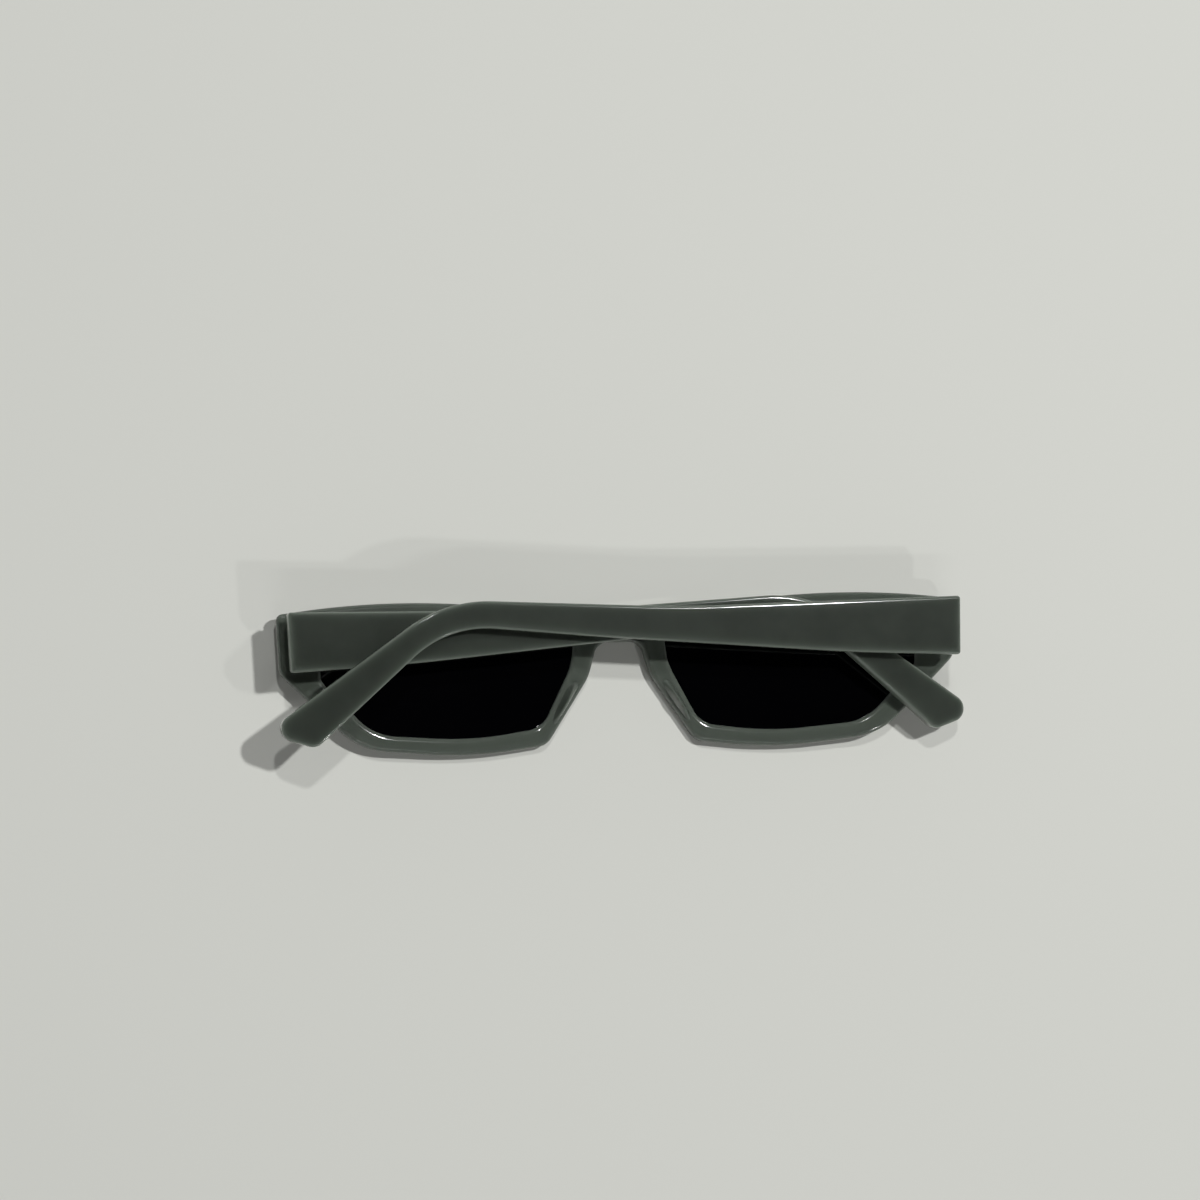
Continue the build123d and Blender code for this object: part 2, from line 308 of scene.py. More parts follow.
@dataclass
class Outline:
    """A closed outline of straight runs joined by tangent arcs.

    A corner of inside angle 2a and radius r is replaced by an arc about the point r / sin(a) along the
    corner's bisector, which meets both runs r / tan(a) from the corner. A place on the outline is its
    length along it, from the start of the first corner's arc. The knots are the lengths at which arcs and
    runs start, carried over three turns so that a stretch may pass the start.
    """

    corners: Array | list[tuple[float, float]]
    radii: Array | list[float]
    step: float = 1.0
    turn_step: float = math.radians(6)

    def __post_init__(self) -> None:
        """Works out the arcs, the runs and the length at which each starts."""
        self.corners, self.radii = np.asarray(self.corners, float), np.asarray(self.radii, float)
        back = np.roll(self.corners, 1, 0) - self.corners
        ahead = np.roll(self.corners, -1, 0) - self.corners
        back /= np.linalg.norm(back, axis=1, keepdims=True)
        ahead /= np.linalg.norm(ahead, axis=1, keepdims=True)
        half = np.arccos(np.clip((back * ahead).sum(1), -1, 1)) / 2
        middle = back + ahead
        middle /= np.linalg.norm(middle, axis=1, keepdims=True)
        reach = (self.radii / np.tan(half))[:, None]
        self.centres = self.corners + middle * (self.radii / np.sin(half))[:, None]
        self.arc_starts, self.arc_ends = self.corners + back * reach, self.corners + ahead * reach
        self.bends = np.sign(back[:, 1] * ahead[:, 0] - back[:, 0] * ahead[:, 1])
        sweeps = math.pi - 2 * half
        self.turning = float(np.sign((sweeps * self.bends).sum()))
        self.runs = np.roll(self.arc_starts, -1, 0) - self.arc_ends
        run_lengths = np.linalg.norm(self.runs, axis=1)
        self.runs = self.runs / run_lengths[:, None]
        arcs = self.radii * sweeps
        lengths = np.column_stack((arcs, run_lengths)).ravel()
        turns = arcs / self.step + sweeps / self.turn_step
        efforts = np.column_stack((turns, run_lengths / self.step)).ravel()
        self.knots = np.concatenate(([0.0], np.cumsum(np.tile(lengths, 3))))
        self.efforts = np.concatenate(([0.0], np.cumsum(np.tile(efforts, 3))))
        self.pieces = 2 * len(self.corners)
        self.length = self.knots[self.pieces]

    def at(self, places: Array) -> tuple[Array, Array]:
        """Points and outward unit normals at lengths along the outline.

        Args:
            places: lengths from the start of the first arc.

        Returns:
            The points and the normals, one row each.
        """
        places = np.asarray(places, float) % self.length
        piece = np.clip(np.searchsorted(self.knots, places, "right") - 1, 0, self.pieces - 1)
        corner, on_arc = piece // 2, (piece % 2 == 0)[:, None]
        local = (places - self.knots[piece])[:, None]
        spoke = self.arc_starts[corner] - self.centres[corner]
        bend, radius = self.bends[corner], self.radii[corner]
        angle = np.arctan2(spoke[:, 1], spoke[:, 0]) + bend * local[:, 0] / radius
        out = np.column_stack((np.cos(angle), np.sin(angle)))
        arc_points = self.centres[corner] + out * radius[:, None]
        arc_normals = out * (bend * self.turning)[:, None]
        run = self.runs[corner]
        run_points = self.arc_ends[corner] + run * local
        run_normals = self.turning * np.column_stack((run[:, 1], -run[:, 0]))
        return np.where(on_arc, arc_points, run_points), np.where(on_arc, arc_normals, run_normals)

    def round(self, count: int = 600) -> Array:
        """Points once round the outline, spaced by effort, with the first one repeated at the end."""
        return self.at(self.spread(0, self.length, even(count)))[0]

    def arc_middle(self, corner: int) -> float:
        """Length at the middle of a corner's arc."""
        return float(self.knots[2 * corner] + self.knots[2 * corner + 1]) / 2

    def run_middle(self, corner: int) -> float:
        """Length at the middle of the straight run after a corner."""
        return float(self.knots[2 * corner + 1] + self.knots[2 * corner + 2]) / 2

    def effort(self, start: float, stop: float) -> float:
        """How many steps a stretch needs, counting both its length and its turning."""
        low, high = np.interp((start, stop), self.knots, self.efforts)
        return float(high - low)

    def spread(self, start: float, stop: float, shares: Array) -> Array:
        """Lengths between two places, spaced by effort.

        Args:
            start: the first length.
            stop: the last length, which may be past one turn.
            shares: rising shares from 0 to 1.

        Returns:
            The lengths, one for each share.
        """
        low, high = np.interp((start, stop), self.knots, self.efforts)
        return np.interp(low + (high - low) * shares, self.efforts, self.knots)


def even(count: int) -> Array:
    """Shares from 0 to 1 at even steps."""
    return np.linspace(0, 1, count + 1)


def crowded(count: int) -> Array:
    """Shares from 0 to 1 that crowd at both ends: half even steps, half (1 - cos of even angles) / 2."""
    return even(count) / 2 + (1 - np.cos(np.pi * even(count))) / 4


def quarter_turn(count: int) -> tuple[Array, Array]:
    """Rounding of unit radius from a face to a wall.

    Args:
        count: steps over the quarter turn.

    Returns:
        How far each row stands in from the wall, 1 - sin, and below the face, 1 - cos.
    """
    angle = even(count) * math.pi / 2
    return 1 - np.sin(angle), 1 - np.cos(angle)


def coons(top: Array, bottom: Array, start: Array, end: Array) -> Array:
    """Fills four boundary curves with a Coons patch.

    The patch is the blend of top with bottom, plus the blend of start with end, less the bilinear blend
    of the four corners.

    Args:
        top: points from the start curve's first point to the end curve's first point.
        bottom: points from the start curve's last point to the end curve's last point.
        start: points from top to bottom where both begin.
        end: points from top to bottom where both end.

    Returns:
        A grid of points, with one row for each point of start.
    """
    across = (share_along(top) + share_along(bottom)) / 2
    down = (share_along(start) + share_along(end)) / 2
    u, v = across[None, :, None], down[:, None, None]
    ruled = (1 - v) * top[None] + v * bottom[None] + (1 - u) * start[:, None] + u * end[:, None]
    corners = (1 - v) * ((1 - u) * top[0] + u * top[-1]) + v * ((1 - u) * bottom[0] + u * bottom[-1])
    return ruled - corners


def share_along(points: Array) -> Array:
    """Share of a curve's length at each of its points."""
    steps = np.linalg.norm(np.diff(points, axis=0), axis=1)
    run = np.concatenate(([0.0], np.cumsum(steps)))
    return run / run[-1]


@dataclass
class Skin:
    """Grids of points in millimetres that close into one surface."""

    name: str
    grids: list[Array] = field(default_factory=list)

    def add(self, grid: Array) -> None:
        """Adds a grid of rows by columns of points."""
        self.grids.append(np.asarray(grid, float))

    def build(self, material: bpy.types.Material, sharp_degrees: float = 40.0) -> bpy.types.Object:
        """Joins the grids at their seams, turns the faces outwards and makes the object.

        Args:
            material: the surface's finish.
            sharp_degrees: edges that turn more than this stay crisp.

        Returns:
            The new object, at the origin.
        """
        points, faces, offset = [], [], 0
        for grid in self.grids:
            rows, columns = grid.shape[:2]
            index = np.arange(rows * columns).reshape(rows, columns) + offset
            quads = (index[:-1, :-1], index[1:, :-1], index[1:, 1:], index[:-1, 1:])
            faces.append(np.stack(quads, -1).reshape(-1, 4))
            points.append(grid.reshape(-1, 3))
            offset += rows * columns
        mesh = bpy.data.meshes.new(self.name)
        mesh.from_pydata((np.concatenate(points) * MM).tolist(), [], np.concatenate(faces).tolist())
        shell = bmesh.new()
        shell.from_mesh(mesh)
        bmesh.ops.remove_doubles(shell, verts=shell.verts, dist=WELD_MM * MM)
        bmesh.ops.dissolve_degenerate(shell, edges=shell.edges, dist=WELD_MM * MM / 2)
        bmesh.ops.recalc_face_normals(shell, faces=shell.faces)
        open_edges = sum(1 for edge in shell.edges if not edge.is_manifold)
        shell.to_mesh(mesh)
        shell.free()
        mesh.shade_smooth()
        mesh.set_sharp_from_angle(angle=math.radians(sharp_degrees))
        mesh.materials.append(material)
        piece = bpy.data.objects.new(self.name, mesh)
        bpy.context.scene.collection.objects.link(piece)
        LOG.info("%s: %d faces, %d open edges", self.name, len(mesh.polygons), open_edges)
        return piece


def vertices_mm(piece: bpy.types.Object) -> Array:
    """The piece's vertices in millimetres, one row each."""
    flat = np.empty(len(piece.data.vertices) * 3)
    piece.data.vertices.foreach_get("co", flat)
    return flat.reshape(-1, 3) / MM


def mark_edges(
    piece: bpy.types.Object, flat: Array, borders: list[Array], reach: float = 1.0, start: float = 0.0
) -> None:
    """Stores each vertex's depth in the painted edge glow: start + distance from the border / reach.

    The distance is the least over the borders' segments, each taken at the vertex's projection on it,
    held between the segment's ends.

    Args:
        piece: the finished piece.
        flat: its vertices laid in the plane of the borders, in millimetres.
        borders: closed rows of points along the borders.
        reach: how many times wider the painted glow band is than in the finish.
        start: how deep in the band the border itself lies, in millimetres.
    """
    distance = np.empty(len(flat))
    origins = np.concatenate([border[:-1] for border in borders])
    spans = np.concatenate([np.diff(border, axis=0) for border in borders])
    squares = (spans**2).sum(1)
    # In blocks, so that the table of vertices by segments stays small
    for block in np.array_split(np.arange(len(flat)), max(1, len(flat) // 1000)):
        gap = flat[block, None, :] - origins[None]
        share = np.clip((gap * spans[None]).sum(2) / squares, 0, 1)
        gap -= share[..., None] * spans[None]
        distance[block] = np.sqrt((gap**2).sum(2).min(1))
    # Painted edge glow: this depth is what lightens the acetate's base colour
    attribute = piece.data.attributes.new(PAINTED_GLOW_ATTRIBUTE, "FLOAT", "POINT")
    attribute.data.foreach_set("value", start + distance / reach)


def settle(piece: bpy.types.Object, body: str, node: str) -> None:
    """Puts a piece on its body, in place of its CAD node, which it hides."""
    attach(piece, body)
    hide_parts(node)


@dataclass
class Front:
    """The acetate front with its lenses and nose pads. Sizes in millimetres, as in the CAD model."""

    lens_width: float = 55.5
    lens_height: float = 26.4
    lens_thickness: float = 2.0
    lens_bevel: float = 0.6
    lens_fit: float = 0.04
    bridge_width: float = 19.5
    bridge_height: float = 5.9
    arch_half_width: float = 4.7
    lens_drop: float = 23.15
    thickness: float = 3.8
    rim_width: float = 3.7
    brow_width: float = 4.6
    end_width: float = 8.9
    end_taper: float = 0.4
    face_radius: float = 620.0
    land_blend_radius: float = 60.0
    edge_radius: float = 0.9
    # Curves of the lens opening, as shares of its width, and its corner radii
    lens_brow_share: float = 2.65
    lens_cheek_share: float = 0.221
    lens_belly_share: float = 1.29
    lens_inner_share: float = 0.277
    lens_corner_radius: float = 2.5
    lens_inner_top_radius: float = 3.0
    lens_nose_radius: float = 6.0
    # Curves of the front, as shares of the lens width, and its corner radii
    brow_share: float = 3.2
    cheek_share: float = 0.295
    belly_share: float = 1.62
    end_top_radius: float = 1.5
    end_low_radius: float = 3.5
    nose_radius: float = 4.0
    arch_radius: float = 3.0
    flare_radius: float = 12.0
    brow_start_radius: float = 30.0
    # How far the end piece's top stands over the lens's outer corner, as a share of the brow
    end_top_share: float = 0.67
    pad_height: float = 3.0
    pad_foot: float = 0.6
    pad_margin: float = 0.3
    # The crest's share of the way from the lens to the nose
    pad_crest: float = 0.62
    # The stretches between the nose corner and the inner corner that the pad takes up
    pad_on_rim: tuple[float, float] = (0.12, 1.0)
    pad_on_lens: tuple[float, float] = (0.05, 0.9)
    pad_columns: int = 44
    pad_rows: int = 24
    lens_columns: int = 60
    lens_rows: int = 40
    lens_sharp_degrees: float = 30.0
    # Painted edge glow: light coming into the narrow rim from both edges is painted as a band that is wide
    # and even
    band_reach: float = 16.0
    band_start: float = 0.42
    # The back face lies this far inside the CAD face, so that the flush hinge leaves show
    leaf_show: float = 0.03
    rounding_steps: int = 8
    face_rows: int = 12
    cut_columns: int = 12

    def __post_init__(self) -> None:
        """Lays out the corners of the lens opening and of the front, on the wearer's right."""
        self.lens_left = self.bridge_width / 2
        lens_shares = {
            "inner_top": (0.000, 0.894),
            "brow": (0.673, 1.000),
            "outer_top": (1.000, 0.936),
            "side": (0.994, 0.511),
            "cheek": (0.795, 0.064),
            "belly": (0.411, 0.000),
            "nose": (0.138, 0.083),
            "inner": (0.015, 0.583),
        }
        self.lens_corners = {
            name: (self.lens_left + along * self.lens_width, up * self.lens_height - self.lens_drop)
            for name, (along, up) in lens_shares.items()
        }
        lens_radii = {
            "inner_top": self.lens_inner_top_radius,
            "brow": self.lens_brow_share * self.lens_width,
            "outer_top": self.lens_corner_radius,
            "side": self.lens_corner_radius,
            "cheek": self.lens_cheek_share * self.lens_width,
            "belly": self.lens_belly_share * self.lens_width,
            "nose": self.lens_nose_radius,
            "inner": self.lens_inner_share * self.lens_width,
        }
        # Where each named corner of the opening stands in its outline
        self.turns = {name: place for place, name in enumerate(self.lens_corners)}
        self.lens = Outline(list(self.lens_corners.values()), list(lens_radii.values()))

        self.half_width = self.lens_left + self.lens_width + self.end_width
        self.flat_half_width = self.lens_left - 2 * self.lens_bevel
        brow_x, brow_y = self.lens_corners["brow"]
        end_top = self.lens_corners["outer_top"][1] + self.end_top_share * self.brow_width
        half_bridge = self.bridge_height / 2
        self.front_corners = [
            (self.arch_half_width + self.arch_radius, half_bridge),
            (brow_x, brow_y + self.brow_width),
            (self.half_width, end_top),
            (self.half_width - self.end_taper, self.beside("side", 0.0, 0.46)[1]),
            self.beside("cheek", 0.78, -0.84),
            self.beside("belly", 0.19, -1.00),
            self.beside("nose", -0.26, -1.03),
            self.beside("inner", -1.00, -0.70),
            (self.arch_half_width, -half_bridge),
        ]
        front_radii = [
            self.brow_start_radius,
            self.brow_share * self.lens_width,
            self.end_top_radius,
            self.end_low_radius,
            self.cheek_share * self.lens_width,
            self.belly_share * self.lens_width,
            self.nose_radius,
            self.flare_radius,
            self.arch_radius,
        ]
        mirrored = [(-x, y) for x, y in reversed(self.front_corners)]
        self.outline = Outline(self.front_corners + mirrored, front_radii + front_radii[::-1])

    def beside(self, corner: str, out: float, up: float) -> tuple[float, float]:
        """The front's corner outside a corner of the lens, by shares of the rim's width."""
        x, y = self.lens_corners[corner]
        return x + out * self.rim_width, y + up * self.rim_width

    def layer(self, x: Array, depth: float) -> Array:
        """Height of the surface at a depth behind the outer face.

        The face is flat in the middle, and past it an arc: radius less the root of (radius - depth)
        squared less the run squared.
        """
        run = np.maximum(np.abs(x) - self.flat_half_width, 0)
        return self.face_radius - np.sqrt((self.face_radius - depth) ** 2 - run**2)

    def back(self, x: Array) -> Array:
        """Height of the back face: the arc, a blend of fixed radius, and the hinge's flat land."""
        lens_outer = self.lens_left + self.lens_width
        land = float(self.layer(np.array([lens_outer]), 0.0)[0]) + self.thickness
        inner, blend = self.face_radius - self.thickness, self.land_blend_radius
        low = land - blend
        centre = math.sqrt((inner + blend) ** 2 - (self.face_radius - low) ** 2)
        run = np.abs(x) - self.flat_half_width
        bow = low + np.sqrt(np.maximum(blend**2 - (run - centre) ** 2, 0))
        meets = centre * inner / (inner + blend)
        return np.where(run < meets, self.layer(x, self.thickness), np.where(run < centre, bow, land))

    def rim(self, side: Side) -> list[Array]:
        """One half of the front, as a profile carried from the outline to the lens opening.

        Each place on the outline is matched with a place on the opening, corner to corner, and the faces
        are ruled between them. Both edges are rounded by a quarter turn, and the opening has a V groove.
        The skin stops at the middle of the bridge, where the other half's meets it.

        Args:
            side: the wearer's side.

        Returns:
            The grids: back face, outer face, outer wall, the opening's two roundings and its groove.
        """
        outline, lens = self.outline, self.lens
        last = len(self.front_corners) - 1
        whole = lens.length
        low, high = lens.arc_middle(self.turns["inner"]), lens.arc_middle(self.turns["inner_top"]) + whole
        # The opening's places that face the arch's corner, the bridge's middle below and that above
        bridge = [low + share * (high - low) for share in (0.3, 0.55, 0.8)]
        outer = [outline.run_middle(len(outline.corners) - 1) - outline.length]
        outer += [outline.arc_middle(corner) for corner in range(last + 1)] + [outline.run_middle(last)]
        outer = [place + outline.length for place in outer]
        inner = [bridge[2]] + [lens.arc_middle(corner) + whole for corner in self.turns.values()]
        inner += [bridge[0] + whole, bridge[1] + whole]
        paths, openings = [], []
        for start, stop, low, high in zip(outer, outer[1:], inner, inner[1:]):
            count = max(3, math.ceil(max(outline.effort(start, stop), lens.effort(low, high))))
            paths.append(outline.spread(start, stop, even(count))[:-1])
            openings.append(lens.spread(low, high, even(count))[:-1])
        paths.append(np.array([outer[-1]]))
        path, path_out = outline.at(np.concatenate(paths))
        openings.append(lens.spread(inner[-1], bridge[2] + whole, even(self.cut_columns)))
        opening, opening_out = lens.at(np.concatenate(openings))
        mirror = np.array([side.value, 1.0])
        path, path_out = path * mirror, path_out * mirror
        opening, opening_out = opening * mirror, opening_out * mirror

        radius = self.edge_radius
        edge = path - path_out * radius
        cut = edge[-1] + (edge[0] - edge[-1]) * crowded(self.cut_columns)[1:, None]
        around = np.concatenate((edge, cut))
        within = opening + opening_out * radius
        rows = crowded(self.face_rows)[:, None, None]
        face = (1 - rows) * around[None] + rows * within[None]
        inset, drop = (part * radius for part in quarter_turn(self.rounding_steps))
        grids = [self.raise_to(face, self.back(face[..., 0]) - self.leaf_show)]
        grids.append(self.raise_to(face, self.layer(face[..., 0], 0.0)))
        upper, lower = self.edges(path[None] - path_out[None] * inset[:, None, None], drop)
        grids.append(np.concatenate((upper, lower[::-1])))
        # The groove: a V as deep as the lens's bevel, opened by the fit
        groove_in = np.array([2 * self.lens_fit, self.lens_bevel + self.lens_fit])
        groove_half = self.lens_thickness / 2 - np.array([0, self.lens_bevel - self.lens_fit])
        grids += self.edges(opening[None] + opening_out[None] * inset[:, None, None], drop)
        grow = np.concatenate(([0.0], groove_in, groove_in[::-1], [0.0]))
        height = np.concatenate(([groove_half[0]], groove_half, -groove_half[::-1], [-groove_half[0]]))
        groove = opening[None] + opening_out[None] * grow[:, None, None]
        heights = self.layer(groove[..., 0], self.thickness / 2) + height[:, None]
        heights[0] = self.back(groove[0, :, 0]) - self.leaf_show - radius
        heights[1] = np.minimum(heights[1], heights[0])
        heights[-1] = self.layer(groove[-1, :, 0], 0.0) + radius
        grids.append(self.raise_to(groove, heights))
        return grids

    @staticmethod
    def raise_to(flat: Array, heights: Array) -> Array:
        """Gives flat points their heights."""
        return np.concatenate((flat, heights[..., None]), axis=-1)

    def edges(self, rows: Array, drop: Array) -> tuple[Array, Array]:
        """Rounded edges of the front along a path.

        Args:
            rows: flat points of one rounding, from the face to the wall.
            drop: how far each row lies from its face.

        Returns:
            The rounding of the back face and that of the outer face.
        """
        upper = self.raise_to(rows, self.back(rows[..., 0]) - self.leaf_show - drop[:, None])
        lower = self.raise_to(rows, self.layer(rows[..., 0], 0.0) + drop[:, None])
        return upper, lower

    def build_frame(self, finish: bpy.types.Material) -> bpy.types.Object:
        """Builds the acetate front."""
        skin = Skin("acetate_front")
        for side in Side:
            for grid in self.rim(side):
                skin.add(grid)
        piece = skin.build(finish)
        # Painted edge glow over the rim
        self.mark(piece)
        settle(piece, "front", "front_frame")
        return piece

    def mark(self, piece: bpy.types.Object) -> None:
        """Stores the rim's painted edge glow depth on the front or on a piece that lies on it."""
        round_front, round_lens = self.outline.round(), self.lens.round()
        borders = [round_front, round_lens, round_lens * np.array([-1.0, 1.0])]
        mark_edges(piece, vertices_mm(piece)[:, :2], borders, self.band_reach, self.band_start)

    def build_lens(self, side: Side, finish: bpy.types.Material) -> bpy.types.Object:
        """Builds one lens: two faces filled as Coons patches, and a bevelled edge carried round them."""
        lens = self.lens
        names = ("inner_top", "outer_top", "cheek", "nose")
        middles = [lens.arc_middle(self.turns[name]) for name in names]
        middles.append(middles[0] + lens.length)
        counts = (self.lens_columns, self.lens_rows, self.lens_columns, self.lens_rows)
        spans = [
            lens.spread(start, stop, even(count))
            for start, stop, count in zip(middles, middles[1:], counts)
        ]
        mirror = np.array([side.value, 1.0])
        top, outer, bottom, inner = (lens.at(span)[0] * mirror for span in spans)
        face = coons(top, bottom[::-1], inner[::-1], outer)
        ring, ring_out = lens.at(np.concatenate([span[:-1] for span in spans] + [spans[-1][-1:]]))
        half, bevel = self.lens_thickness / 2, self.lens_bevel
        grow = np.array([0.0, bevel, bevel, 0.0])
        rise = np.array([half, half - bevel, bevel - half, -half])
        edge = (ring[None] + ring_out[None] * grow[:, None, None]) * mirror
        middle = self.thickness / 2
        skin = Skin(f"{side.word}_lens_sheet")
        skin.add(self.raise_to(face, self.layer(face[..., 0], middle + half)))
        skin.add(self.raise_to(face, self.layer(face[..., 0], middle - half)))
        skin.add(self.raise_to(edge, self.layer(edge[..., 0], middle + rise[:, None])))
        piece = skin.build(finish, self.lens_sharp_degrees)
        settle(piece, "front", f"{side.word}_lens")
        return piece

    def nose_side(
        self, outline: Outline, stretch: tuple[float, float], along: Array
    ) -> tuple[Array, Array]:
        """Points and normals between the nose corner and the inner one, at shares of a stretch of it.

        The two corners have the same numbers in the opening and in the front's outline.

        Args:
            outline: the opening or the front's outline.
            stretch: the shares at which the stretch starts and ends.
            along: shares of the stretch.

        Returns:
            The points and the outward normals, one row each.
        """
        nose, inner = (outline.arc_middle(self.turns[name]) for name in ("nose", "inner"))
        return outline.at(nose + (inner - nose) * (stretch[0] + (stretch[1] - stretch[0]) * along))

    def build_pad(self, side: Side, finish: bpy.types.Material) -> bpy.types.Object:
        """Builds one nose pad: a low mound on the rim, between its edge and the lens opening.

        The height over the foot is the pad's rise times a bell along the rim and a bell across it, each the
        squared sine of half a turn. Across, the turn runs with a power of the share, which moves the crest
        towards the nose. The underside sinks by the plain sines, so that the two skins part at once.
        """
        along, across = even(self.pad_columns), even(self.pad_rows)[:, None]
        rim, rim_out = self.nose_side(self.outline, self.pad_on_rim, along)
        opening, opening_out = self.nose_side(self.lens, self.pad_on_lens, along)
        rim, opening = rim - rim_out * self.pad_margin, opening + opening_out * self.pad_margin
        plan = (1 - across[..., None]) * opening[None] + across[..., None] * rim[None]
        plan = plan * np.array([side.value, 1.0])
        turn_across = np.pi * across ** (math.log(0.5) / math.log(self.pad_crest))
        bell = (np.sin(np.pi * along) * np.sin(turn_across)) ** 2
        keel = np.sin(np.pi * along) * np.sin(np.pi * across)
        foot = self.thickness - self.pad_foot
        skin = Skin(f"{side.word}_nose_wedge")
        skin.add(self.raise_to(plan, foot + (self.pad_height + self.pad_foot) * bell))
        skin.add(self.raise_to(plan, foot - self.pad_foot * keel))
        piece = skin.build(finish)
        # Painted edge glow of the rim, carried onto the pad
        self.mark(piece)
        settle(piece, "front", f"{side.word}_nose_pad")
        return piece


@dataclass
class Temple:
    """One acetate temple on its hinge pin. Sizes in millimetres, as in the CAD model."""

    side: Side
    pin: tuple[float, float, float]
    fold_degrees: float
    bend_clear: float = 28.4
    tip_reach: float = 38.8
    butt_height: float = 12.7
    thickness: float = 3.8
    tip_drop: float = 25.0
    butt_slant: float = 0.4
    butt_reach: float = 4.75
    pin_inset: float = 1.3
    inward_radius: float = 180.0
    edge_radius: float = 0.6
    # The inner face lies this far inside the CAD face, so that the flush hinge leaf shows
    leaf_show: float = 0.03
    knee_share: float = 0.213
    # The long edges' curves, as shares of the length to the bend, and the corner radii
    top_share: float = 2.8
    bottom_share: float = 4.7
    butt_radius: float = 0.7
    bend_top_radius: float = 29.0
    bend_low_radius: float = 23.0
    tip_radii: tuple[float, float] = (2.9, 2.6)
    long_columns: int = 90
    tip_columns: int = 44
    end_rows: int = 22
    rounding_steps: int = 6

    def __post_init__(self) -> None:
        """Lays out the side view, from the upper corner of the butt round to the lower one."""
        bend, height = 2 * abs(self.pin[0]) - self.bend_clear, self.butt_height
        self.bend = bend
        knee = self.knee_share * height
        corners = [
            (-self.butt_reach, 0.5 * height),
            (0.525 * bend, 0.424 * height),
            (1.004 * bend, 0.630 * height),
            (bend + self.tip_reach, knee - 0.860 * self.tip_drop),
            (bend + 0.729 * self.tip_reach, knee - self.tip_drop),
            (bend, knee),
            (0.705 * bend, -0.037 * height),
            (0.186 * bend, -0.410 * height),
            (self.butt_slant - self.butt_reach, -0.5 * height),
        ]
        top, bottom = self.top_share * bend, self.bottom_share * bend
        radii = [self.butt_radius, top, self.bend_top_radius, *self.tip_radii]
        radii += [self.bend_low_radius, bottom, bottom, self.butt_radius]
        self.outline = Outline(corners, radii)

    def stand(self, flat: Array, offset: Array, outer: bool) -> Array:
        """Puts points of the side view on one face of the temple, in the frame.

        Past the bend each face is an arc about one centre: its distance from the pin's plane is the pin's
        inset, less the radius, plus the root of the face's radius squared less the run squared.

        Args:
            flat: points of the side view, along the temple and up.
            offset: distance of each row from the face, inwards.
            outer: whether the face is the outer one.

        Returns:
            The points in the frame, in millimetres.
        """
        along, up = flat[..., 0], flat[..., 1]
        run = np.maximum(along - self.bend, 0)
        radius = self.inward_radius + (self.thickness if outer else self.leaf_show)
        out = self.pin_inset - self.inward_radius + np.sqrt(radius**2 - run**2)
        out = out - offset if outer else out + offset
        turn, sign = math.radians(self.fold_degrees), self.side.value
        x = self.pin[0] - sign * math.cos(turn) * along + sign * math.sin(turn) * out
        z = self.pin[2] + math.sin(turn) * along + math.cos(turn) * out
        return np.stack((x, self.pin[1] + up, z), axis=-1)

    def flatten(self, points: Array) -> Array:
        """Side view of points in the frame: along the temple and up."""
        turn, sign = math.radians(self.fold_degrees), self.side.value
        gap = points - np.array(self.pin)
        along = -sign * math.cos(turn) * gap[:, 0] + math.sin(turn) * gap[:, 2]
        return np.column_stack((along, gap[:, 1]))

    def build(self, finish: bpy.types.Material) -> bpy.types.Object:
        """Builds the temple: two faces filled as Coons patches, and a rounded wall carried round them.

        The ring's six stretches are the top up to the bend, the top and the end of the tip, the tip's lower
        side, the bottom up to the butt, and the butt.
        """
        outline = self.outline
        middles = [outline.arc_middle(corner) for corner in (0, 2, 3, 4, 5, 8)]
        middles.append(middles[0] + outline.length)
        counts = (self.long_columns, self.tip_columns, self.end_rows)
        counts += (self.tip_columns, self.long_columns, self.end_rows)
        spans = [
            outline.spread(start, stop, crowded(count))
            for start, stop, count in zip(middles, middles[1:], counts)
        ]
        ring, ring_out = outline.at(np.concatenate([span[:-1] for span in spans] + [spans[-1][-1:]]))
        edge = ring - ring_out * self.edge_radius
        ends = np.cumsum([0] + [len(span) - 1 for span in spans])
        top, tip = edge[: ends[2] + 1], edge[ends[2] : ends[3] + 1]
        bottom, butt = edge[ends[3] : ends[5] + 1], edge[ends[5] :]
        face = coons(top, bottom[::-1], butt[::-1], tip)
        inset, drop = (part * self.edge_radius for part in quarter_turn(self.rounding_steps))
        rows = ring[None] - ring_out[None] * inset[:, None, None]
        skin = Skin(f"{self.side.word}_acetate_temple")
        level = np.zeros(face.shape[:2])
        skin.add(self.stand(face, level, True))
        skin.add(self.stand(face, level, False))
        outer, inner = (self.stand(rows, drop[:, None], outer) for outer in (True, False))
        skin.add(np.concatenate((outer, inner[::-1])))
        piece = skin.build(finish)
        # Painted edge glow along the temple's outline
        mark_edges(piece, self.flatten(vertices_mm(piece)), [outline.round()])
        settle(piece, f"{self.side.word}_arm", f"{self.side.word}_temple")
        return piece


@dataclass(frozen=True)
class Lamp:
    """A small ceiling lamp, round or a strip along X.

    The share is how brightly the lamp alone renders a white floor, from 0 to 1, and the length is the
    strip's in metres, or 0 for a round lamp.
    """

    name: str
    toward: tuple[float, float, float]
    share: float
    length: float = 0.0


LAMPS = (
    Lamp("lamp_lower_right", (0.50, -0.73, 1.0), 0.07),
    Lamp("lamp_upper_right", (0.34, 0.23, 1.0), 0.53),
    Lamp("lamp_top", (-0.05, 0.43, 1.0), 0.20),
    Lamp("lamp_strip_below", (0.0, -0.62, 1.0), 0.05, 0.65),
)


